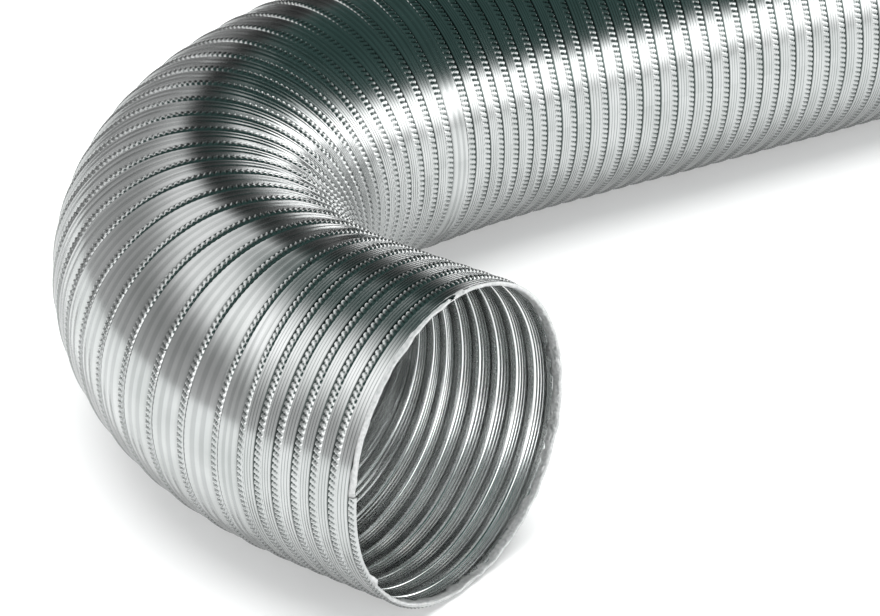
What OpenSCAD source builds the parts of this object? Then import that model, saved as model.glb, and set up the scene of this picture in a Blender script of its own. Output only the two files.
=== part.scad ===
// Flexible aluminium air duct: one corrugated strip wound round and round with a crimped lock seam,
// lying on its side with a tight bend and two open ends, each cut off square with bare shears.
// The near mouth opens towards +X. The duct runs back along -X, bends round in the XY plane and
// leaves in a long straight leg. Each named node is a group of whole turns, rigid or bending.

/* [Bore and wall] */
// Inside diameter, which slips over a round spigot of this nominal size
bore_d = 100; // [80:1:125]
// Thickness from the bore to the bottom of the valleys between ribs
wall_t = 0.8; // [0.6:0.1:1.2]
// Depth of the ripple that the ribs leave on the inside of the straight bending turns
ripple_h = 0.4; // [0.2:0.1:0.5]

/* [Lock seam and ridges] */
// Height of the folded lock seam above the valleys
seam_h = 1.1; // [0.9:0.1:1.5]
// Width of the lock seam's flat top
seam_w = 1.6; // [1.2:0.1:2]
// Height of the plain pressed ridges above the valleys
ridge_h = 0.8; // [0.5:0.1:0.9]
// Width of a plain ridge's flat top where the turns are packed tight
ridge_w = 1.0; // [0.6:0.1:1.1]
// Run of the slope on each side of a seam or ridge
flank_w = 0.35; // [0.2:0.05:0.4]
// How far the ribs of the bending turns stay below those of the rigid turns
flex_drop = 0.15; // [0.1:0.05:0.3]

/* [Turns] */
// Length of one turn where the turns are packed tight
tight_pitch = 7.3; // [7:0.1:10]
// Turns of each cut end that stay stiff, up to the cut edge
end_turns = 3; // [2:1:5]
// Turns of each zone that tilts or draws out in the straight legs
flex_turns = 3; // [3:1:5]
// Turns of each stiff group in the far leg
leg_turns = 5; // [3:1:8]
// Turns of each stiff group in the slow curve after the bend
curve_turns = 4; // [3:1:6]
// Turns of the bending zone between those two groups
curve_flex_turns = 2; // [2:1:4]

/* [Shape as laid] */
// Radius of the tight bend, at the middle of the duct
bend_r = 130; // [115:1:180]
// Angle of the tight bend
bend_angle = 102; // [80:1:115]
// Radius of the slow curve after the bend, at the middle of the duct
curve_r = 330; // [250:5:600]

/* [Cut edges] */
// Depth of the nick that the shears left in the near edge
nick_d = 1.4; // [0.8:0.1:1.8]
// Width of that nick at the edge
nick_w = 4; // [2:0.5:6]
// Width of the gap where the cut edge of the strip folds over itself
fold_w = 0.8; // [0.5:0.1:1.5]
// How far the burr stands out of the near edge
burr_l = 1.5; // [0.8:0.1:2.5]
// Width of that burr at its root
burr_w = 5; // [3:0.5:8]
// Thickness of the burr, which is one layer of the strip
burr_t = 0.5; // [0.3:0.1:0.6]

/* [Hidden] */
$fn = 96;
ribs_per_turn = 3;          // one lock seam and two ridges
bend_groups = 10;           // stiff single turns in the bend, each followed by a bending turn
leg_groups = 3;             // stiff groups in the straight far leg, before the cut end

bore_r = bore_d / 2;
valley_r = bore_r + wall_t;
rim_l = tight_pitch / ribs_per_turn;          // the cut edge takes the place of one rib
near_l = (end_turns + flex_turns) * tight_pitch;
bend_step = bend_angle / (2 * bend_groups);   // angle of one turn in the bend
curve_step = tight_pitch / curve_r * 180 / PI;
curve_total = 2 * curve_turns + curve_flex_turns;
curve_angle = curve_total * curve_step;
flex_l = flex_turns * tight_pitch;
leg_l = leg_turns * tight_pitch;
end_l = end_turns * tight_pitch;
leg_period = flex_l + leg_l;
cut_r = seam_h + valley_r + 1;                // reach of the cutters past the outside

// A rib's height and the width of its top: number 0 of each turn is the lock seam
function rib_h(number) = number % ribs_per_turn == 0 ? seam_h : ridge_h;
function rib_w(number, pitch) =
    number % ribs_per_turn == 0 ? seam_w : ridge_w * pitch / tight_pitch;

// Outline points of one straight rib at distance z, from its lower foot to its upper foot
function rib_outline(number, z, drop) =
    let (half = rib_w(number, tight_pitch) / 2, top = valley_r + rib_h(number) - drop) [
        [valley_r, z - half - flank_w], [top, z - half],
        [top, z + half], [valley_r, z + half + flank_w]
    ];

// Straight turns along +Z from z = 0, with ribs first to last of the whole run of turns.
// A plain bore is one cylinder; a rippled one follows the ribs and has no flat land.
module straight_turns(turns, first = 0, last = -1, ripple = 0, drop = 0) {
    slot = tight_pitch / ribs_per_turn;
    end = last < 0 ? turns * ribs_per_turn - 1 : last;
    bottom = first * slot;
    top = (end + 1) * slot;
    outside = [for (n = [first:end]) each rib_outline(n, (n + 0.5) * slot, drop)];
    inside = ripple == 0 ? [] : [for (n = [end:-1:first]) each [
        [bore_r + ripple, (n + 0.5) * slot], if (n > first) [bore_r, n * slot]
    ]];
    rotate_extrude()
        polygon(concat(
            [[bore_r, bottom], [valley_r, bottom]], outside,
            [[valley_r, top], [bore_r, top]], inside
        ));
}

// A slice of pipe between two angles of an arc of radius r about the Z axis
module pipe_slice(r, from, to, inner_r, outer_r) {
    rotate([0, 0, from])
        rotate_extrude(angle = to - from)
            translate([r, 0])
                difference() {
                    circle(outer_r);
                    circle(inner_r);
                }
}

// Turns wound round an arc, clockwise from the angle start. Each rib is a slice rooted in the
// middle of the wall, so the ribs fan out over the outside of the bend and close up inside it.
module arc_turns(r, step, turns, start, drop = 0) {
    slot = step / ribs_per_turn;
    pitch = r * step * PI / 180;
    pipe_slice(r, start - turns * step, start, bore_r, valley_r);
    for (n = [0:turns * ribs_per_turn - 1]) {
        middle = start - (n + 0.5) * slot;
        half = (rib_w(n, pitch) + flank_w) / 2 / r * 180 / PI;
        pipe_slice(r, middle - half, middle + half, bore_r + wall_t / 2, valley_r + rib_h(n) - drop);
    }
}

// The near leg runs along -X from the mouth
module on_near_leg(distance) {
    translate([-distance, 0, 0]) rotate([0, -90, 0]) children();
}

// Turns of the tight bend, counted from its start
module bend_run(first_turn, drop = 0) {
    translate([-near_l, bend_r, 0])
        arc_turns(bend_r, bend_step, 1, -90 - first_turn * bend_step, drop);
}

// The slow curve starts where the bend ends and turns the same way
module curve_run(first_turn, turns, drop = 0) {
    translate([-near_l, bend_r, 0])
        rotate([0, 0, -90 - bend_angle])
            translate([bend_r - curve_r, 0, 0])
                arc_turns(curve_r, curve_step, turns, -first_turn * curve_step, drop);
}

// The far leg is straight and leaves the slow curve along its own +Z
module on_far_leg(distance) {
    translate([-near_l, bend_r, 0])
        rotate([0, 0, -90 - bend_angle])
            translate([bend_r - curve_r, 0, 0])
                rotate([0, 0, -curve_angle])
                    translate([curve_r, -distance, 0])
                        rotate([90, 0, 0]) children();
}

// A cut end's edge, without ribs, from z = 0 to the first rib
module rim_ring() {
    rotate_extrude()
        translate([bore_r, 0]) square([wall_t, rim_l]);
}

// The near edge, with the nick, the fold and the burr that rough shears leave
module mouth_rim() color([0.86, 0.87, 0.87]) {
    on_near_leg(0) {
        difference() {
            rim_ring();
            rotate([0, 0, 83])
                translate([0, -nick_w / 2, 0])
                    rotate([90, 0, 90])
                        linear_extrude(cut_r)
                            polygon([[0, -1], [nick_w, -1], [nick_w, 0], [nick_w / 2, nick_d], [0, 0]]);
            rotate([0, 0, 174])
                translate([0, -fold_w / 2, -1])
                    cube([cut_r, fold_w, 1 + 2 * rim_l / 3]);
        }
        rotate([0, 0, -120])
            translate([bore_r + (wall_t - burr_t) / 2, -burr_w / 2, 0])
                rotate([90, 0, 90])
                    linear_extrude(burr_t)
                        polygon([[0, rim_l / 2], [0, 0], [burr_w / 2, -burr_l], [burr_w, 0], [burr_w, rim_l / 2]]);
    }
}

// The stiff turns behind the near edge: a plain round socket inside
module mouth_turns() color([0.78, 0.79, 0.79])
    on_near_leg(0) straight_turns(end_turns, first = 1);

// The turns between the mouth and the bend, which let the mouth nod
module mouth_flex() color([0.70, 0.72, 0.72])
    on_near_leg(end_l) straight_turns(flex_turns, ripple = ripple_h, drop = flex_drop);

// One stiff turn of the bend
module bend_turns(k) color([0.78, 0.79, 0.79])
    bend_run(2 * (k - 1));

// One bending turn of the bend, between two stiff ones
module bend_flex(k) color([0.70, 0.72, 0.72])
    bend_run(2 * k - 1, flex_drop);

// Stiff turns of the far side: two groups in the slow curve, then groups in the straight leg
module far_turns(k) color([0.78, 0.79, 0.79]) {
    if (k == 1) curve_run(0, curve_turns);
    if (k == 2) curve_run(curve_turns + curve_flex_turns, curve_turns);
    if (k > 2)
        on_far_leg((k - 3) * leg_period + flex_l) straight_turns(leg_turns, ripple = ripple_h);
}

// The zones between them: the first bends, the others tilt or draw out
module far_flex(k) color([0.70, 0.72, 0.72]) {
    if (k == 1) curve_run(curve_turns, curve_flex_turns, flex_drop);
    if (k > 1)
        on_far_leg((k - 2) * leg_period)
            straight_turns(flex_turns, ripple = ripple_h, drop = flex_drop);
}

// The stiff turns of the far end, with a plain round socket inside
module far_end_turns() color([0.78, 0.79, 0.79])
    on_far_leg(leg_groups * leg_period + flex_l)
        straight_turns(end_turns, last = end_turns * ribs_per_turn - 2);

// The far edge, cut off square
module far_rim() color([0.86, 0.87, 0.87])
    on_far_leg(leg_groups * leg_period + flex_l + end_l - rim_l) rim_ring();

mouth_rim();
mouth_turns();
mouth_flex();
for (k = [1:bend_groups]) {
    bend_turns(k);
    bend_flex(k);
}
for (k = [1:leg_groups + 2]) {
    far_turns(k);
    far_flex(k);
}
far_end_turns();
far_rim();
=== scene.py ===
import bpy
import numpy as np
from math import sin, cos, pi, radians, ceil, floor
from mathutils import Matrix, Vector


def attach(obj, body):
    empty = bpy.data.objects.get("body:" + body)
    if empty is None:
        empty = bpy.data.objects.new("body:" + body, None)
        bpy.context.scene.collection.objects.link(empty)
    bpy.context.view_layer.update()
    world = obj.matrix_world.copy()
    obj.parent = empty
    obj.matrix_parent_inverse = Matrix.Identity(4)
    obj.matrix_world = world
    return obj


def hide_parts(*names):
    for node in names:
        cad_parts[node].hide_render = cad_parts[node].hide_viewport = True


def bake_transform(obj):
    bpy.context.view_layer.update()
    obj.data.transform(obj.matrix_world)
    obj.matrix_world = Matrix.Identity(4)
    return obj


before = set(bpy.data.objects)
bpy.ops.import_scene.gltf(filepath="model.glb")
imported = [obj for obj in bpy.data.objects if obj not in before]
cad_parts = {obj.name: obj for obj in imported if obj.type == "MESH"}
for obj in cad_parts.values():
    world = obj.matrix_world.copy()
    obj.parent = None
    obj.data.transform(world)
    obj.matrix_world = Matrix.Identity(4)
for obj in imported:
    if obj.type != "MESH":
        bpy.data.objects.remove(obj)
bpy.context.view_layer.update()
scene = bpy.context.scene
mm = 0.001  # lengths below are in millimetres


# camera: looks down on the near mouth from the right
cameraView = {
    "target": (-58.85, 64.11, 0.0),
    "azimuth": 39.59,  # degrees round from -Y towards +X
    "elevation": 28.61,
    "roll": -2.44,
    "distance": 1080.1,
    "lens": 136.42,
    "clip": (0.05, 50),  # metres
}


def makeCamera(view):
    # back points from the target to the camera; right and up are square to it, turned by the roll
    az, el, roll = (radians(view[k]) for k in ("azimuth", "elevation", "roll"))
    back = np.array([sin(az) * cos(el), -cos(az) * cos(el), sin(el)])
    right = np.cross([0, 0, 1], back)
    right /= np.linalg.norm(right)
    up = np.cross(back, right)
    turned = [cos(roll) * right + sin(roll) * up, -sin(roll) * right + cos(roll) * up, back]
    place = (np.array(view["target"]) + view["distance"] * back) * mm
    data = bpy.data.cameras.new("ductCamera")
    data.lens = view["lens"]
    data.clip_start, data.clip_end = view["clip"]
    camera = bpy.data.objects.new("ductCamera", data)
    matrix = Matrix.Identity(4)
    for column in range(3):
        for row in range(3):
            matrix[row][column] = float(turned[column][row])
    matrix.translation = Vector(place)
    camera.matrix_world = matrix
    scene.collection.objects.link(camera)
    scene.camera = camera


makeCamera(cameraView)
print("camera placed")


# the duct's middle line: near leg, tight bend, slow curve, far leg
course = {
    "nearLeg": 43.8,
    "bendRadius": 130.0,
    "bendAngle": 102.0,
    "curveRadius": 330.0,
    "curveAngle": 12.6744,
    "farLeg": 219.0,
    "turnInBend": 5.1,  # degrees of bend that one turn takes
    "ease": 4.0,  # how gently the winding meets a change of radius
}
bendStart = course["nearLeg"]
bendEnd = bendStart + course["bendRadius"] * radians(course["bendAngle"])
curveEnd = bendEnd + course["curveRadius"] * radians(course["curveAngle"])
ductLength = curveEnd + course["farLeg"]


def middleLine(s):
    # centre and direction at s: along -X, then clockwise by s over each radius, then straight on
    full, rb, rc = radians(course["bendAngle"]), course["bendRadius"], course["curveRadius"]
    bent = np.clip((s - bendStart) / rb, 0, full)
    eased = np.clip((s - bendEnd) / rc, 0, radians(course["curveAngle"]))
    angle = bent + eased
    direction = np.stack([-np.cos(angle), np.sin(angle), 0 * s], -1)
    x = -np.minimum(s, bendStart) - rb * np.sin(bent) - rc * (np.sin(full + eased) - sin(full))
    y = rb * (1 - np.cos(bent)) - rc * (np.cos(full + eased) - cos(full))
    centre = np.stack([x, y, 0 * s], -1) + direction * np.maximum(s - curveEnd, 0)[..., None]
    return centre, direction


def curvature(s):
    # one over the radius of the middle line, eased over a few millimetres where the radius changes
    ease = lambda at: 0.5 + 0.5 * np.tanh((s - at) / course["ease"])
    sharp, slow = 1 / course["bendRadius"], 1 / course["curveRadius"]
    return sharp * ease(bendStart) + (slow - sharp) * ease(bendEnd) - slow * ease(curveEnd)


def onDuct(s, phi, r):
    # a point r from the middle line at s, turned phi from the inner side of the bend up over the top
    centre, along = middleLine(s)
    inward = np.stack([along[..., 1], -along[..., 0], 0 * s], -1)
    outward = np.cos(phi)[..., None] * inward + np.sin(phi)[..., None] * np.array([0, 0, 1.0])
    return centre + r[..., None] * outward


# the strip: wound round and round, its lock seam marks each turn. Radii and heights count from
# the middle line, distances across the strip from the start of its lock seam
strip = {
    "firstSeam": 5.6,  # distance of the first lock seam from the cut edge
    "tightPitch": 7.25,
    "loosePitch": 11.6,
    "looseFrom": 6.2,  # turns at which the winding opens and closes again
    "looseTo": 26.75,
    "turnEase": 0.16,
    "uneven": ((0.14, 2.1, 0.6), (0.07, 5.3, 1.0)),  # size, frequency and phase of each drift
    "turns": (-2, 68),  # a little more than the duct takes
    "seamSide": 137.0,  # degrees round the duct at which turns are counted
    "seamWidth": 2.1,
    "grooveEnd": 2.95,
    "wallRadius": 51.2,  # where a turn's width is counted
    "floorRadius": 51.0,  # between the ridges, and where the finish is unrolled
    "boreRadius": 50.02,
    "wall": 0.8,
    "arch": 0.08,  # how far the strip bulges out between two lock seams
    "insideArch": 0.2,
    "columns": 180,
    "wave": 0.13,  # unevenness of the hand-bent wall
    "swells": (  # size, number round the duct, frequency along it, phase
        (0.6, 2, 0.021, 0.7), (0.45, 3, -0.047, 0.0), (0.3, 7, 0.11, 2.0), (0.25, 11, -0.19, 0.5),
    ),
    "outsideShade": 0.03,  # how strongly the ridges turn the surface for the light
    "insideShade": 1.3,
}
# the wall under and between the lock seams, for tight and for loose turns, with as many places in
# both. Relief is 0 in the deepest hollow, which gets the most painted shade, and 1 on an unshaded top
ridges = {
    "tightRidges": 4,
    "tightPlaces": (0, 0.22, 0.5, 0.78),  # shares of one ridge
    "tightHeight": (51.02, 51.23, 51.27, 51.23),
    "loosePlaces": (  # shares of the whole width
        0, 0.125, 1 / 6, 0.21, 0.27, 1 / 3, 0.4, 0.458, 0.5, 0.542, 0.6, 2 / 3, 0.73, 0.79, 5 / 6, 0.875,
    ),
    "crests": 3,
    "crestFoot": 50.95,
    "crestHeight": 0.5,
    "opens": (7.8, 2.2),  # pitch at which a turn starts to count as loose, and how much more makes it so
    "groovePlaces": (0.0, 1.05, 2.12, 2.55),  # under the lock seam, then the deep groove beside it
    "grooveHeight": (50.85, 50.5, 50.3, 50.28),
    "grooveRelief": (0.5, 0.3, 0.0, 0.0),
    "floorRelief": (0.12, 0.6),  # tight and loose
    "rise": 0.25,  # height over the floor that counts as an unshaded top
    "insideGroove": (0.35, 1.0, 1.0, 0.35),
    "insideRelief": (0.25, 50.92, 0.6),  # how much painted shade the hollows get, from which height, over how much
}
grooveRows = len(ridges["groovePlaces"])
rowsPerTurn = grooveRows + len(ridges["loosePlaces"])


def softStep(x):
    # 0 below 0 and x above it, with a rounded corner
    return strip["turnEase"] * np.logaddexp(0, x / strip["turnEase"])


def turnPlace(turns):
    # distance along the duct after so many turns: a steady pitch, opened in the bend, a little uneven
    gap = strip["loosePitch"] - strip["tightPitch"]
    opened = softStep(turns - strip["looseFrom"]) - softStep(turns - strip["looseTo"])
    uneven = sum(size * np.sin(often * turns + phase) for size, often, phase in strip["uneven"])
    return strip["firstSeam"] + strip["tightPitch"] * turns + gap * opened + uneven


def pitchAt(turns, phi):
    # real width of the strip where it lies: the pitch, fanned out outside the bend, closed up inside it
    start = turns + (np.degrees(phi) - strip["seamSide"]) / 360
    near, far = turnPlace(start), turnPlace(start + 1)
    return (far - near) * (1 - strip["wallRadius"] * np.cos(phi) * curvature((near + far) / 2))


def wave(s, phi):
    # slow swells of the wall: a few sines round and along the duct
    swell = lambda size, lobes, often, phase: size * np.sin(lobes * phi + often * s + phase)
    return strip["wave"] * sum(swell(*values) for values in strip["swells"])


def smooth(t):
    # 0 to 1 with level ends
    return t * t * (3 - 2 * t)


def acrossStrip(key):
    # a row of values across the strip, laid out for turns, rows and columns
    return np.array(ridges[key])[None, :, None]


def ridgeShape(loose):
    # shares of the width and heights between two lock seams: four flat ridges parted by narrow grooves
    # where the turns are tight, and three thin crests, each a squared cosine, where they are loose
    count, crests = ridges["tightRidges"], ridges["crests"]
    tight = ((np.arange(count)[:, None] + np.array(ridges["tightPlaces"])) / count).ravel()[None, :, None]
    places = acrossStrip("loosePlaces")
    crest = (0.5 + 0.5 * np.cos(2 * pi * crests * places - pi)) ** 2
    crest = ridges["crestFoot"] + ridges["crestHeight"] * crest
    flat = np.tile(acrossStrip("tightHeight"), (1, count, 1))
    return tight * (1 - loose) + places * loose, flat * (1 - loose) + crest * loose


def stripGrid(inner):
    # rows across the strip times columns round the duct, for one of the wall's two skins: where each
    # point lies, its relief, and a normal from a copy whose ridges are lower or higher, for the light
    count, floorRadius, grooveEnd = strip["columns"], strip["floorRadius"], strip["grooveEnd"]
    phi = np.radians(np.arange(-1, count + 2) * 360 / count)
    n, p = np.meshgrid(np.arange(*strip["turns"]), phi, indexing="ij")
    pitch = pitchAt(n, p)[:, None, :]
    opens, over = ridges["opens"]
    loose = smooth(np.clip((pitch - opens) / over, 0, 1))
    share, ripple = ridgeShape(loose)
    still = 0 * share[:, :grooveRows]
    across = np.concatenate([acrossStrip("groovePlaces") + still, grooveEnd + share * (pitch - grooveEnd)], 1)
    height = np.concatenate([acrossStrip("grooveHeight") + still, ripple], 1)
    bulge = np.concatenate([still, np.sin(pi * share)], 1)
    turns = n[:, None, :] + across / pitch
    angle = p[:, None, :] + 0 * turns
    place = turnPlace(turns + (np.degrees(angle) - strip["seamSide"]) / 360)
    if inner:
        darker, foot, over = ridges["insideRelief"]
        grooveRelief = acrossStrip("insideGroove")
        ridgeRelief = 1.0 - darker * np.clip((ripple - foot) / over, 0, 1)
        height = np.maximum(height - strip["wall"], strip["boreRadius"]) + strip["insideArch"] * bulge
    else:
        lowTight, lowLoose = ridges["floorRelief"]
        low = lowTight * (1 - loose) + lowLoose * loose
        grooveRelief = acrossStrip("grooveRelief")
        ridgeRelief = low + (1 - low) * np.clip((ripple - floorRadius) / ridges["rise"], 0, 1)
        height = height + strip["arch"] * bulge
    # relief, which the finish turns into painted shade in the grooves and hollows
    relief = np.concatenate([grooveRelief + still, ridgeRelief], 1)
    unevenness = wave(place, angle)
    shade = strip["insideShade" if inner else "outsideShade"]
    shaded = floorRadius + shade * (height - floorRadius) + unevenness
    flat = lambda values: values.reshape(-1, count + 3)
    points = onDuct(flat(place), flat(angle), flat(shaded))
    normal = np.cross(np.gradient(points, axis=0), np.gradient(points, axis=1))
    normal /= np.linalg.norm(normal, axis=-1, keepdims=True) * (-1 if inner else 1)
    grid = {"s": flat(place), "r": flat(height + unevenness), "relief": flat(relief), "normal": normal}
    return {**{key: values[:, 1:-1] for key, values in grid.items()}, "phi": phi[1:-1]}


def meshFrom(name, points, triangles, cornerUv, cornerNormals=None, **shadeAndLight):
    # fills a mesh with whole arrays: points in millimetres, three corners a face, and the masks of
    # painted shade and painted light for the finish, point by point
    mesh = bpy.data.meshes.new(name)
    mesh.vertices.add(len(points))
    mesh.vertices.foreach_set("co", (points * mm).astype(np.float32).ravel())
    mesh.loops.add(triangles.size)
    mesh.loops.foreach_set("vertex_index", triangles.astype(np.int32).ravel())
    mesh.polygons.add(len(triangles))
    mesh.polygons.foreach_set("loop_start", np.arange(0, triangles.size, 3, dtype=np.int32))
    mesh.update(calc_edges=True)
    layer = mesh.uv_layers.new(name="alongStrip")
    layer.data.foreach_set("uv", (cornerUv * mm).astype(np.float32).ravel())
    for label, values in shadeAndLight.items():
        attribute = mesh.attributes.new(label, "FLOAT", "POINT")
        attribute.data.foreach_set("value", values.astype(np.float32))
    if cornerNormals is not None:
        mesh.normals_split_custom_set(cornerNormals.reshape(-1, 3).tolist())
    piece = bpy.data.objects.new(name, mesh)
    scene.collection.objects.link(piece)
    return piece


def wallSide(grid, low, high, stride, inner):
    # the part of a grid between two square cuts: rows past a cut fall onto one ring of points in it,
    # where the values are mixed from the two rows on either side
    rows = np.arange(0, len(grid["s"]), stride)
    s, r, relief, normal = (grid[k][rows] for k in ("s", "r", "relief", "normal"))
    perTurn = rowsPerTurn // stride
    count = strip["columns"]
    first = int((s[:, -1] > low).argmax()) - 1
    last = len(s) - int((s[::-1, 0] < high).argmax())
    ring = np.arange(count)

    def atCut(cut):
        above = (s[:, :count] >= cut).argmax(axis=0)
        below = s[above - 1, ring]
        t = (cut - below) / (s[above, ring] - below)

        def mix(v):
            low, high = v[above - 1, ring], v[above, ring]
            return low + (high - low) * (t if v.ndim == 2 else t[:, None])

        return mix(r), mix(relief), mix(normal)

    block = slice(first, last + 1)
    sb = s[block, :count]
    inside = (sb > low) & (sb < high)
    number = np.cumsum(inside.ravel()).reshape(inside.shape) - 1
    total = int(inside.sum())
    ids = np.where(inside, number, np.where(sb <= low, total + ring[None], total + count + ring[None]))
    wrapped = np.full(len(ids), total + count)
    wrapped[:-perTurn] = ids[perTurn:, 0]
    ids = np.concatenate([ids, wrapped[:, None]], 1)
    columns = np.broadcast_to(np.arange(count + 1)[None], ids.shape)
    quads = [ids[:-1, :-1], ids[1:, :-1], ids[1:, 1:], ids[:-1, 1:]]
    sides = [columns[:-1, :-1], columns[1:, :-1], columns[1:, 1:], columns[:-1, 1:]]
    order = [(0, 1, 2), (0, 2, 3)] if not inner else [(0, 2, 1), (0, 3, 2)]
    faces = np.concatenate([np.stack([quads[i].ravel() for i in o], -1) for o in order])
    faceColumns = np.concatenate([np.stack([sides[i].ravel() for i in o], -1) for o in order])
    keep = (faces[:, 0] != faces[:, 1]) & (faces[:, 1] != faces[:, 2]) & (faces[:, 0] != faces[:, 2])
    faces, faceColumns = faces[keep], faceColumns[keep]
    lowCut, highCut = atCut(low), atCut(high)
    flatten = lambda v, at: np.concatenate([v[block, :count][inside], lowCut[at], highCut[at]])
    places = np.concatenate([sb[inside], np.full(count, low), np.full(count, high)])
    once = grid["phi"][:count]
    angles = np.concatenate([np.broadcast_to(once[None], sb.shape)[inside], once, once])
    return {
        "s": places, "phi": angles, "r": flatten(r, 0), "relief": flatten(relief, 1),
        "normal": flatten(normal, 2), "faces": faces, "columns": faceColumns,
        "lowRing": total + ring, "highRing": total + count + ring,
    }


def capBetween(outer, inner, towardsFar):
    # a flat ring of faces that joins the wall's two skins in a square cut
    a, b = np.roll(outer, -1), np.roll(inner, -1)
    if towardsFar:
        return np.concatenate([np.stack([outer, inner, b], -1), np.stack([outer, b, a], -1)])
    return np.concatenate([np.stack([outer, b, inner], -1), np.stack([outer, a, b], -1)])


def makeWall(name, low, high, outerGrid, innerGrid, innerStride):
    # outer skin, inner skin and the two cuts between them; the finish runs along the unrolled wall
    out = wallSide(outerGrid, low, high, 1, False)
    into = wallSide(innerGrid, low, high, innerStride, True)
    shift = len(out["s"])
    s, phi, r = (np.concatenate([out[k], into[k]]) for k in ("s", "phi", "r"))
    caps = [
        capBetween(out["lowRing"], into["lowRing"] + shift, False),
        capBetween(out["highRing"], into["highRing"] + shift, True),
    ]
    faces = np.concatenate([out["faces"], into["faces"] + shift] + caps)
    normals = np.concatenate([out["normal"], into["normal"]])[faces]
    cut = len(out["faces"]) + len(into["faces"])
    for at, cap, sign in ((low, caps[0], -1), (high, caps[1], 1)):
        _, along = middleLine(np.array([float(at)]))
        normals[cut:cut + len(cap)] = sign * along[0]
        cut += len(cap)
    wholeRound = 2 * pi * strip["floorRadius"]
    wall = np.concatenate([out["columns"], into["columns"]]) * wholeRound / strip["columns"]
    capAround = np.degrees(phi)[np.concatenate(caps)] / 360 * wholeRound
    uv = np.stack([np.concatenate([wall, capAround]), s[faces]], -1)
    relief = np.concatenate([out["relief"], into["relief"]])
    # painted light: marks the inner skin, which the finish makes lighter
    clean = (np.arange(len(s)) >= shift) * 1.0
    return meshFrom(name, onDuct(s, phi, r), faces, uv, normals, relief=relief, clean=clean), s


# lock seam: a folded ribbon that follows the winding, pressed with slanted teeth
lockSeam = {
    "teethPerTurn": 164,
    "columnsPerTooth": 5,
    "toothDepth": 0.6,
    "shade": 1.0,  # how much painted shade the bottom of a tooth's gap gets
    "slant": 0.42,  # how far a tooth leans across the seam, in teeth
    "section": (  # distance across the strip, height
        (0.0, 50.25), (0.0, 51.45), (0.22, 51.86), (1.05, 51.9), (1.88, 51.86), (2.1, 51.4), (2.1, 50.25),
    ),
    "cutDepths": (0.0, 0.2, 0.8, 1.0, 1.0, 0.8, 0.0),  # how much of the tooth's depth each corner takes
    "facing": 1,  # away from the middle line
    "sides": (-1.2, -0.5, -0.12, 0.0, 0.12, 0.5, 1.2),  # how far each corner's normal leans along the duct
    "lean": 0.25,  # how far the teeth turn it round the duct
}
innerSeam = {
    "teethPerTurn": 164,
    "columnsPerTooth": 4,
    "toothDepth": 0.4,
    "shade": 1.0,
    "slant": 0.0,
    "section": ((1.7, 50.3), (1.65, 50.0), (1.05, 49.93), (0.5, 50.0), (0.4, 50.3)),
    "cutDepths": (0.0, -0.2, -1.0, -0.2, 0.0),
    "facing": -1,
    "sides": (0.6, 0.3, 0.0, -0.3, -0.6),
    "lean": 1.0,
}
teeth = {"edge": 6, "share": 0.1}  # how sharp their edges are, and how much wider than the gaps they are
finishRun = 900  # length of seam after which its finish starts anew


def seamCrossing(s):
    # the turn count at which the seam's middle passes s, found by halving
    a, b = strip["turns"]
    for _ in range(50):
        m = (a + b) / 2
        if float(turnPlace(np.array([m]))[0]) < s:
            a = m
        else:
            b = m
    return a


def seamRibbon(v, low, high):
    # the section carried along the winding: each column stands at its own turn, and the teeth
    # dip the outer corners by a rounded square wave that leans across the seam. The normals for the
    # light lean a little along the duct by corner, and round it by the teeth
    perTurn = v["teethPerTurn"] * v["columnsPerTooth"]
    lead = 0.5 * strip["seamWidth"]
    first = ceil(seamCrossing(low - lead) * perTurn)
    last = floor(seamCrossing(high - lead) * perTurn)
    column = np.arange(first, last + 1)
    turns = column / perTurn
    full = (turns * 360 + strip["seamSide"]) % 360
    phi = np.radians(full)
    whole = np.round(turns - (full - strip["seamSide"]) / 360)
    pitch = pitchAt(whole, phi)
    x, r = np.array(v["section"]).T
    place = turnPlace(turns[:, None] + x[None] / pitch[:, None])
    phase = column[:, None] / v["columnsPerTooth"] + v["slant"] * x[None] / strip["seamWidth"]
    tooth = 1 / (1 + np.exp(-teeth["edge"] * (np.cos(2 * pi * phase) + teeth["share"])))
    dip = (1 - tooth) * np.array(v["cutDepths"])[None] * v["toothDepth"]
    radius = r[None] - dip + wave(place, phi[:, None])
    count, size = place.shape
    ids = np.arange(count * size).reshape(count, size)
    a, b = ids[:-1], ids[1:]
    c, d = np.roll(a, -1, 1), np.roll(b, -1, 1)
    faces = np.concatenate([np.stack(corners, -1).reshape(-1, 3) for corners in ([a, c, d], [a, d, b])])
    fan = np.stack([np.zeros(size - 2, int), np.arange(1, size - 1), np.arange(2, size)], -1)
    ends = np.concatenate([ids[0][fan[:, ::-1]], ids[-1][fan]])
    angle = np.broadcast_to(phi[:, None], place.shape)
    centre, along = middleLine(place)
    outward, around = (onDuct(place, angle + turned, 1 + 0 * place) - centre for turned in (0, pi / 2))
    lean = v["lean"] * np.gradient(tooth, axis=0)[..., None]
    normal = v["facing"] * outward + np.array(v["sides"])[None, :, None] * along - lean * around
    normal /= np.linalg.norm(normal, axis=-1, keepdims=True)
    forward = np.where(np.arange(len(ends)) < len(fan), -1, 1)
    caps = forward[:, None, None] * around.reshape(-1, 3)[ends]
    normals = np.concatenate([normal.reshape(-1, 3)[faces], caps])
    faces = np.concatenate([faces, ends])
    run = np.broadcast_to((turns * 2 * pi * strip["floorRadius"])[:, None] % finishRun, place.shape)
    # relief: painted shade in the gaps between the teeth
    relief = 1 - (1 - tooth) * np.abs(np.array(v["cutDepths"]))[None] * v["shade"]
    return place.ravel(), angle.ravel(), radius.ravel(), faces, normals, run.ravel(), relief.ravel()


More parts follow.
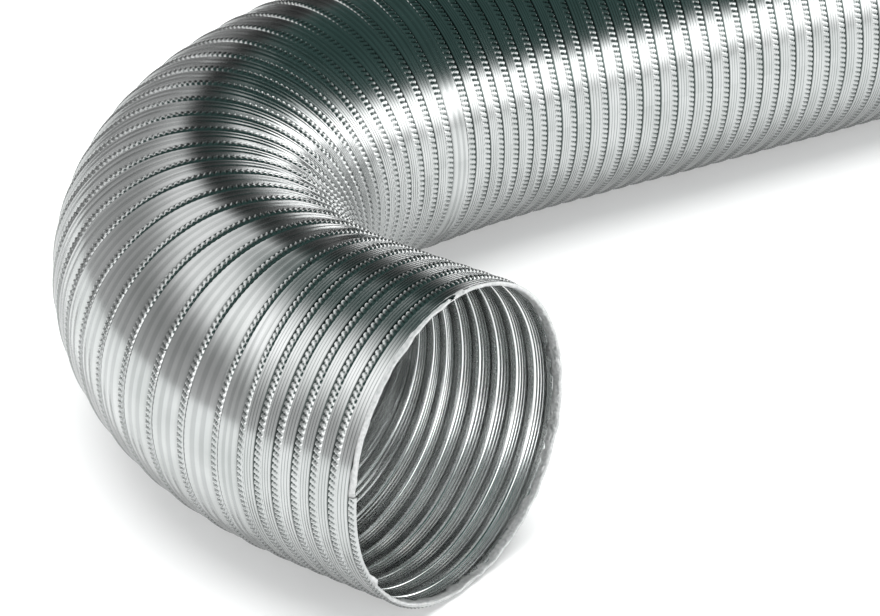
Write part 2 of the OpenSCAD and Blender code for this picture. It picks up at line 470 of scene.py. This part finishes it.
def makeSeam(name, low, high, ribbons):
    # the ribbons joined in one piece; a face across the start of the finish takes one spot of it
    parts = list(zip(*(seamRibbon(v, low, high) for v in ribbons)))
    sizes = [len(places) for places in parts[0]]
    faces = np.concatenate([ids + shift for ids, shift in zip(parts[3], np.cumsum([0] + sizes))])
    s, phi, r, _, normals, run, relief = (np.concatenate(part) for part in parts)
    corners = run[faces]
    across = corners.max(1) - corners.min(1) > finishRun / 2
    corners = np.where(across, 0.0, 1.0)[:, None] * corners
    uv = np.stack([corners, s[faces]], -1)
    # painted light: marks the ribbons after the first, the inner seam, which the finish makes lighter
    clean = (np.arange(len(s)) >= sizes[0]) * 1.0
    return meshFrom(name, onDuct(s, phi, r), faces, uv, normals, relief=relief, clean=clean), s


# cut lip: the sheared and crumpled edge of the strip, turned in a little
cutLip = {
    "columns": 720,
    "corners": (  # depth behind the cut, radius, share of crumple
        (3.3, 50.04, 0.2), (2.5, 49.93, 0.5), (1.7, 49.86, 1.0), (0.9, 49.88, 1.0), (0.1, 49.95, 0.9),
        (-0.4, 50.25, 0.8), (-0.4, 50.75, 0.8), (0.1, 51.1, 0.7), (0.8, 51.16, 0.5), (1.4, 51.05, 0.3),
        (1.35, 50.45, 0.0), (2.9, 50.28, 0.0),
    ),
    "finishStart": 20.0,  # how far its finish is shifted along the duct
    "crumple": 0.16,
    "fine": 0.35,  # share of the small crumples
    "swing": 0.18,  # how far the crumples move the corners along the duct
    "ragged": (0.55, 0.22),  # how far the inner and the outer end of the lip fray
    "raggedCorners": (0, 9),
    "waves": {"crease": (4, 26), "fine": (30, 110), "swing": (3, 40), "ragged": (5, 60)},
    "edge": (0.1, 0.9),  # depth at which the marks below sit, and how far they reach
    "nickWidth": 2.4,  # degrees to each side
    "burrWidth": 3.4,
    "burrCurl": 0.33,
    "foldRun": (14, 1.2),  # degrees over which the fold sinks and comes back
}
nearLip = {
    "nick": 7.0,  # degrees round the edge
    "nickDepth": 1.4,
    "fold": 276.0,
    "foldDepth": 0.75,
    "burr": 210.0,
    "burrLength": 1.5,
    "seed": 11,
}
farLip = {**nearLip, "nickDepth": 0.0, "foldDepth": 0.0, "burrLength": 0.0, "seed": 23}


def roundNoise(phi, waves, seed, lines):
    # a sum of cosines round the ring, with random sizes and with phases that drift from line to line,
    # one line of noise for each corner
    pick = np.random.default_rng(seed)
    k = np.arange(*waves)
    phase = pick.uniform(0, 2 * pi, (1, len(k))) + pick.normal(0, 0.5, (lines, len(k))).cumsum(0)
    size = pick.uniform(0.3, 1, len(k))
    total = np.einsum("k,lkn->ln", size, np.cos(k[None, :, None] * phi[None, None] + phase[..., None]))
    return total / np.sqrt(0.5 * (size ** 2).sum())


def lipShape(v, marks, phi):
    # depth and radius of the section's corners round the cut end. Creases are the folded-over part of
    # the noise; the nick is a V into the edge, the burr a sliver out of it, the fold a sudden step
    # inwards, and all three fade with the distance from the edge
    depth, r, share = np.array(v["corners"]).T
    share = share[:, None]
    noise = lambda kind, shift, lines: roundNoise(phi, v["waves"][kind], marks["seed"] + shift, lines)
    big, small = noise("crease", 0, len(r)), noise("fine", 1, len(r))
    crease = 0.5 - np.abs(np.tanh(big)) + v["fine"] * small
    radius = r[:, None] + v["crumple"] * share * crease
    along = depth[:, None] + v["swing"] * share * noise("swing", 2, len(r))
    for corner, size, frayed in zip(v["raggedCorners"], v["ragged"], noise("ragged", 3, 2)):
        along[corner] += size * frayed
    away = lambda at: (np.degrees(phi) - at + 180) % 360 - 180
    peak = lambda at, width: np.clip(1 - np.abs(away(at)) / width, 0, 1)
    edge = np.exp(-((depth - v["edge"][0]) / v["edge"][1]) ** 2)[:, None]
    burr = marks["burrLength"] * peak(marks["burr"], v["burrWidth"])
    along = along + edge * (marks["nickDepth"] * peak(marks["nick"], v["nickWidth"]) - burr)
    turn, (sinks, back) = away(marks["fold"]), v["foldRun"]
    step = np.clip((turn + sinks) / sinks, 0, 1) * np.clip((back - turn) / back, 0, 1)
    return along, radius - edge * (v["burrCurl"] * burr + marks["foldDepth"] * step)


def makeLip(name, v, marks, cut, sign):
    # the closed section carried round the cut; the finish runs along its unrolled edge
    phi = np.arange(v["columns"]) * 2 * pi / v["columns"]
    along, radius = lipShape(v, marks, phi)
    s, r = (cut + sign * along).ravel(), radius.ravel()
    angle = np.tile(phi, len(along))
    a = np.arange(len(s)).reshape(radius.shape)
    b, c = np.roll(a, -1, 1), np.roll(a, -1, 0)
    d = np.roll(b, -1, 0)
    faces = np.concatenate([np.stack(corners, -1).reshape(-1, 3) for corners in ([a, b, d], [a, d, c])])
    if sign > 0:
        faces = faces[:, ::-1]
    around = (angle * strip["floorRadius"])[faces]
    wraps = around.max(1) - around.min(1) > pi * strip["floorRadius"]
    around = np.where(wraps, 0, 1)[:, None] * around
    uv = np.stack([around, s[faces] + v["finishStart"]], -1)
    return meshFrom(name, onDuct(s, angle, r), faces, uv)


# finishes; the scales of blotches, smears, lines and folds are per metre
metalLook = {
    "light": (0.52, 0.53, 0.53, 1),
    "dull": (0.42, 0.435, 0.43, 1),
    # painted shade: the dark teal laid into hollows, grooves and the gaps between teeth
    "paintedShade": (0.035, 0.05, 0.046, 1),
    "inside": (0.86, 0.875, 0.87, 1),  # painted light: the inside is lighter than the same metal outside
    "valley": 0.35,  # how much of the painted shade lies in the shallow valleys
    "reliefs": (0.05, 0.45, 0.9),  # from the darkest hollow over a valley to an unshaded top
    "roughness": (0.12, 0.22),
    "blotches": 60,
    "smears": 22,
    "smearStretch": (0.25, 1.6, 1),
    "lines": (30, 1800, 1),
    "lineShare": 0.4,
}
edgeLook = {
    "light": (0.58, 0.58, 0.58, 1),
    "dull": (0.40, 0.41, 0.41, 1),
    "metallic": 0.6,
    "roughness": (0.35, 0.55),
    "fine": 900,
    "folds": 420.0,
    "foldStretch": (1, 1.4, 1),
    "foldHeight": 1.5,
    "fineHeight": 0.5,
    "bump": (0.5, 0.0006),  # strength, and depth in metres
}


class Nodes:  # shorthand for shader nodes: a value that is a socket gets linked, any other one is set
    def __init__(self, tree):
        self.tree = tree

    def add(self, kind, values=(), **settings):
        node = self.tree.nodes.new("ShaderNode" + kind)
        for key, value in settings.items():
            setattr(node, key, value)
        for key, value in dict(values).items():
            if isinstance(value, bpy.types.NodeSocket):
                self.tree.links.new(value, node.inputs[key])
            else:
                node.inputs[key].default_value = value
        return node

    def math(self, what, *values):
        return self.add("Math", dict(enumerate(values)), operation=what).outputs[0]

    def noise(self, vector, scale, detail=3.0, stretch=(1, 1, 1)):
        spread = self.add("Mapping", {"Vector": vector, "Scale": stretch})
        grain = self.add("TexNoise", {"Vector": spread.outputs[0], "Scale": scale, "Detail": detail})
        return grain.outputs["Fac"]

    def span(self, value, low, high, fromLow=0.0, fromHigh=1.0):
        return self.add("MapRange", {0: value, 1: fromLow, 2: fromHigh, 3: low, 4: high}).outputs[0]

    def blend(self, amount, a, b):
        return self.add("Mix", {0: amount, 6: a, 7: b}, data_type="RGBA").outputs[2]


def emptyNodes(owner):
    # an empty node tree for a material or the world
    owner.use_nodes = True
    owner.node_tree.nodes.clear()
    return Nodes(owner.node_tree)


def freshMaterial(name):
    material = bpy.data.materials.new(name)
    nodes = emptyNodes(material)
    surface = nodes.add("BsdfPrincipled", {"Metallic": 1.0})
    nodes.add("OutputMaterial", {"Surface": surface.outputs[0]})
    return material, nodes, surface


def stripMetal(v):
    # rolled aluminium: grey that drifts between light and dull in soft blotches, painted light inside,
    # painted shade where the relief is low; roughness follows wide smears and the fine lines of the rolling
    material, nodes, surface = freshMaterial("rolledAluminium")
    uv = nodes.add("UVMap", uv_map="alongStrip").outputs[0]
    blotch = nodes.noise(uv, v["blotches"], 4)
    smear = nodes.noise(uv, v["smears"], 3, v["smearStretch"])
    lines = nodes.noise(uv, 1.0, 2, v["lines"])
    relief = nodes.add("Attribute", attribute_name="relief").outputs["Fac"]
    hollow, valley, top = v["reliefs"]
    deep = nodes.span(relief, 1.0 - v["valley"], 0.0, hollow, valley)
    low = nodes.math("ADD", deep, nodes.span(relief, v["valley"], 0.0, valley, top))
    metal = nodes.blend(nodes.span(blotch, 0, 1, 0.3, 0.72), v["dull"], v["light"])
    # painted light: the inner skin is blended to a lighter grey
    clean = nodes.add("Attribute", attribute_name="clean").outputs["Fac"]
    metal = nodes.blend(clean, metal, v["inside"])
    # painted shade: the dark teal blended in where the relief is low
    metal = nodes.blend(nodes.math("MINIMUM", low, 1.0), metal, v["paintedShade"])
    smear = nodes.math("MULTIPLY", smear, 1 - v["lineShare"])
    mixed = nodes.math("ADD", smear, nodes.math("MULTIPLY", lines, v["lineShare"]))
    rough = nodes.span(mixed, *v["roughness"], 0.3, 0.7)
    for key, value in (("Base Color", metal), ("Roughness", rough)):
        nodes.tree.links.new(value, surface.inputs[key])
    return material


def tornMetal(v):
    # bare sheared edge: less shiny and rougher, with small angular folds and fine grain as bump
    material, nodes, surface = freshMaterial("shearedEdge")
    uv = nodes.add("UVMap", uv_map="alongStrip").outputs[0]
    spread = nodes.add("Mapping", {"Vector": uv, "Scale": v["foldStretch"]}).outputs[0]
    cells = {"Vector": spread, "Scale": v["folds"], "Randomness": 1.0}
    folds = nodes.add("TexVoronoi", cells, feature="DISTANCE_TO_EDGE").outputs[0]
    fine = nodes.noise(uv, v["fine"], 4)
    metal = nodes.blend(nodes.span(fine, 0, 1, 0.3, 0.7), v["dull"], v["light"])
    rough = nodes.span(fine, *v["roughness"], 0.3, 0.7)
    folds = nodes.math("MULTIPLY", folds, v["foldHeight"])
    height = nodes.math("ADD", folds, nodes.math("MULTIPLY", fine, v["fineHeight"]))
    bump = nodes.add("Bump", {"Strength": v["bump"][0], "Distance": v["bump"][1], "Height": height})
    surface.inputs["Metallic"].default_value = v["metallic"]
    for key, value in (("Base Color", metal), ("Roughness", rough), ("Normal", bump.outputs[0])):
        nodes.tree.links.new(value, surface.inputs[key])
    return material


aluminium = stripMetal(metalLook)
sheared = tornMetal(edgeLook)
print("finishes made")


# zones: each stretch of duct is cut in the middle of two stiff groups, with a span between them
zoneCuts = {
    "bendGroups": 10,  # stiff single turns in the tight bend
    "farGroups": 5,  # stiff groups after it, without the far end
    "nearSpan": (-21.9, 1.7),  # from the start of the bend
    "curveCuts": (14.6, 58.4),  # from the end of the bend
    "curveSpan": (24.9, 48.1),
    "legCuts": (40.15, 98.55, 156.95),  # from the start of the straight far leg
    "legSpans": ((-6.0, 28.0), (57.75, 80.95), (116.15, 139.35), (167.5, 197.1)),
    "innerSeam": (140, 70),  # how far into the near and the far mouth its seam shows inside
    "fineInside": 60,  # and how far the near mouth's inside keeps every row
}


def zoneTable(v):
    # one row for each stretch: its cuts, its span, the bodies at its ends and the nodes that it hides
    turn = course["bendRadius"] * radians(course["turnInBend"])
    bendCut = lambda k: bendStart + (2 * k + 0.5) * turn
    names = [f"bend_{k + 1}" for k in range(v["bendGroups"])]
    names += [f"far_{k + 1}" for k in range(v["farGroups"])]
    bodies = ["mouth"] + names + ["far_end"]
    cuts = [0.0] + [bendCut(k) for k in range(v["bendGroups"])] + [bendEnd + d for d in v["curveCuts"]]
    cuts += [curveEnd + d for d in v["legCuts"]] + [ductLength]
    spans = [tuple(bendStart + d for d in v["nearSpan"])]
    spans += [(bendCut(k), bendCut(k + 1)) for k in range(v["bendGroups"])]
    spans += [tuple(bendEnd + d for d in v["curveSpan"])]
    spans += [tuple(curveEnd + d for d in span) for span in v["legSpans"]]
    hidden = [[name.replace("_", kind) for kind in ("_turns_", "_flex_")] for name in names]
    hidden = [["mouth_turns", "mouth_flex"]] + hidden
    hidden[-1].append("far_end_turns")
    keys = ("label", "low", "high", "bodies", "span", "nodes")
    rows = zip(["near"] + names, cuts, cuts[1:], zip(bodies, bodies[1:]), spans, hidden)
    return [dict(zip(keys, row)) for row in rows]


def bendAlong(piece, zone):
    # bakes the piece's placement into its points; nothing here ties it to the bodies or bends it over the
    # span
    ends, _ = middleLine(np.array(zone["span"]))
    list(zone["bodies"])
    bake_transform(piece)
    start, end = zone["span"]


outerGrid, innerGrid = stripGrid(False), stripGrid(True)
for zone in zoneTable(zoneCuts):
    label, low, high = zone["label"], zone["low"], zone["high"]
    stride = 1 if low < zoneCuts["fineInside"] else 2
    wall, s = makeWall("wall_" + label, low, high, outerGrid, innerGrid, stride)
    wall.data.materials.append(aluminium)
    bendAlong(wall, zone)
    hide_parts(*zone["nodes"])
    showsInside = low < zoneCuts["innerSeam"][0] or high > ductLength - zoneCuts["innerSeam"][1]
    seam, s = makeSeam("seam_" + label, low, high, [lockSeam, innerSeam] if showsInside else [lockSeam])
    seam.data.materials.append(aluminium)
    bendAlong(seam, zone)
    print("zone", label, len(wall.data.polygons), len(seam.data.polygons))

for name, marks, cut, sign, body, node in (
    ("lip_near", nearLip, 0.0, 1, "mouth", "mouth_rim"),
    ("lip_far", farLip, ductLength, -1, "far_end", "far_rim"),
):
    lip = makeLip(name, cutLip, marks, cut, sign)
    lip.data.materials.append(sheared)
    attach(lip, body)
    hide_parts(node)
print("lips made")


# floor and light
floorLook = {"half": 3.0, "height": -51.9, "colour": (0.9, 0.9, 0.9, 1), "ownLight": 0.3}
softLamp = {"size": 2.5, "place": (0, 0.1, 2.0), "watts": 85}


def makeFloor(v):
    # a plain pale sheet under the duct: part soft white, which keeps the shadow, part its own light
    h, z = v["half"], v["height"] * mm
    mesh = bpy.data.meshes.new("floor")
    mesh.from_pydata([(-h, -h, z), (h, -h, z), (h, h, z), (-h, h, z)], [], [(0, 1, 2, 3)])
    piece = bpy.data.objects.new("floor", mesh)
    scene.collection.objects.link(piece)
    material = bpy.data.materials.new("paleFloor")
    nodes = emptyNodes(material)
    paper = nodes.add("BsdfDiffuse", {"Color": v["colour"]})
    glow = nodes.add("Emission", {"Color": (1, 1, 1, 1), "Strength": 1.0})
    rays = nodes.add("LightPath").outputs
    mirrored = nodes.math("MAXIMUM", rays["Is Glossy Ray"], rays["Is Transmission Ray"])
    seen = nodes.math("MAXIMUM", rays["Is Camera Ray"], mirrored)
    share = nodes.math("MULTIPLY", seen, v["ownLight"])
    mix = nodes.add("MixShader", {0: share, 1: paper.outputs[0], 2: glow.outputs[0]})
    nodes.add("OutputMaterial", {"Surface": mix.outputs[0]})
    mesh.materials.append(material)


studio = {
    # pairs of compass angle, counted from -Y towards +X, and value
    "bandHeight": (
        (-180, 10), (-165, 12), (-150, 17), (-135, 28), (-120, 35), (-105, 40), (-90, 44), (-60, 46),
        (-40, 40), (-15, 22), (60, 17), (96, 17), (133, 15), (160, 11), (180, 10),
    ),
    "bandPower": (
        (-180, 3.8), (-165, 3.8), (-154, 3.6), (-146, 0.4), (-136, 0.06), (-127, 1.3), (-90, 1.6),
        (-60, 2.0), (-40, 2.0), (-10, 2.6), (60, 2.6), (96, 3.7), (133, 3.5), (180, 3.8),
    ),
    "bandWidth": ((-180, 10), (-114, 9), (-80, 12), (-54, 13), (0, 13), (60, 12), (96, 11), (180, 10)),
    "belowPower": (
        (-180, 0.35), (-156, 0.06), (-136, 0.05), (-124, 0.5), (-60, 0.48), (-30, 0.55), (60, 0.7),
        (96, 0.8), (135, 0.55), (180, 0.35),
    ),
    "tops": {"bandHeight": 60, "bandPower": 4, "bandWidth": 30, "belowPower": 1},  # of the curves
    "bandFlatness": 2.5,
    "change": (-0.4, 0.6),  # from below to above, in widths of the band
    "horizon": 1.4,  # how much lighter the grey is at the horizon
    "horizonHeight": 18.0,  # degrees up to which it is
    "above": (0.055, 0.105, 0.097, 1),
}


def makeStudio(v):
    # the light by direction: a bright band whose height, power and width follow curves round the
    # compass, grey under it, by a fourth curve, lighter towards the horizon, and dark above it. The
    # camera itself sees white
    world = bpy.data.worlds.new("studio")
    scene.world = world
    nodes = emptyNodes(world)
    way = nodes.add("SeparateXYZ", {0: nodes.add("TexCoord").outputs["Generated"]}).outputs
    compass = nodes.math("ARCTAN2", way[0], nodes.math("MULTIPLY", way[1], -1.0))
    compass = nodes.span(compass, 0.0, 1.0, -pi, pi)
    height = nodes.math("MULTIPLY", nodes.math("ARCSINE", way[2]), 180 / pi)

    def byCompass(key):
        points, top = v[key], v["tops"][key]
        node = nodes.add("FloatCurve", {"Value": compass})
        curve = node.mapping.curves[0]
        curve.points[0].location = (0, points[0][1] / top)
        curve.points[-1].location = (1, points[-1][1] / top)
        for at, value in points[1:-1]:
            curve.points.new((at + 180) / 360, value / top)
        node.mapping.update()
        return nodes.math("MULTIPLY", node.outputs[0], float(top))

    middle, power, width = (byCompass(key) for key in ("bandHeight", "bandPower", "bandWidth"))
    away = nodes.math("DIVIDE", nodes.math("SUBTRACT", height, middle), width)
    fall = nodes.math("POWER", nodes.math("ABSOLUTE", away), v["bandFlatness"])
    band = nodes.math("EXPONENT", nodes.math("MULTIPLY", fall, -1.0))
    side = nodes.span(away, 0.0, 1.0, *v["change"])
    lift = nodes.span(height, v["horizon"], 1.0, 0.0, v["horizonHeight"])
    grey = nodes.math("MULTIPLY", byCompass("belowPower"), lift)
    plain = lambda value: nodes.add("CombineXYZ", {0: value, 1: value, 2: value}).outputs[0]
    base = nodes.blend(side, plain(grey), v["above"])
    sky = nodes.add("Background", {"Color": nodes.blend(band, base, plain(power)), "Strength": 1.0})
    white = nodes.add("Background", {"Color": (1, 1, 1, 1), "Strength": 1.0})
    straight = nodes.add("LightPath").outputs["Is Camera Ray"]
    seen = nodes.add("MixShader", {0: straight, 1: sky.outputs[0], 2: white.outputs[0]})
    nodes.add("OutputWorld", {"Surface": seen.outputs[0]})


def makeLamp(v):
    # a wide soft disk overhead, which the metal doesn't mirror
    data = bpy.data.lights.new("softLamp", "AREA")
    data.shape, data.size, data.energy = "DISK", v["size"], v["watts"]
    lamp = bpy.data.objects.new("softLamp", data)
    lamp.location = v["place"]
    lamp.visible_glossy = False
    scene.collection.objects.link(lamp)


makeFloor(floorLook)
makeStudio(studio)
makeLamp(softLamp)
scene.view_settings.view_transform = "Standard"
print("floor and light made")
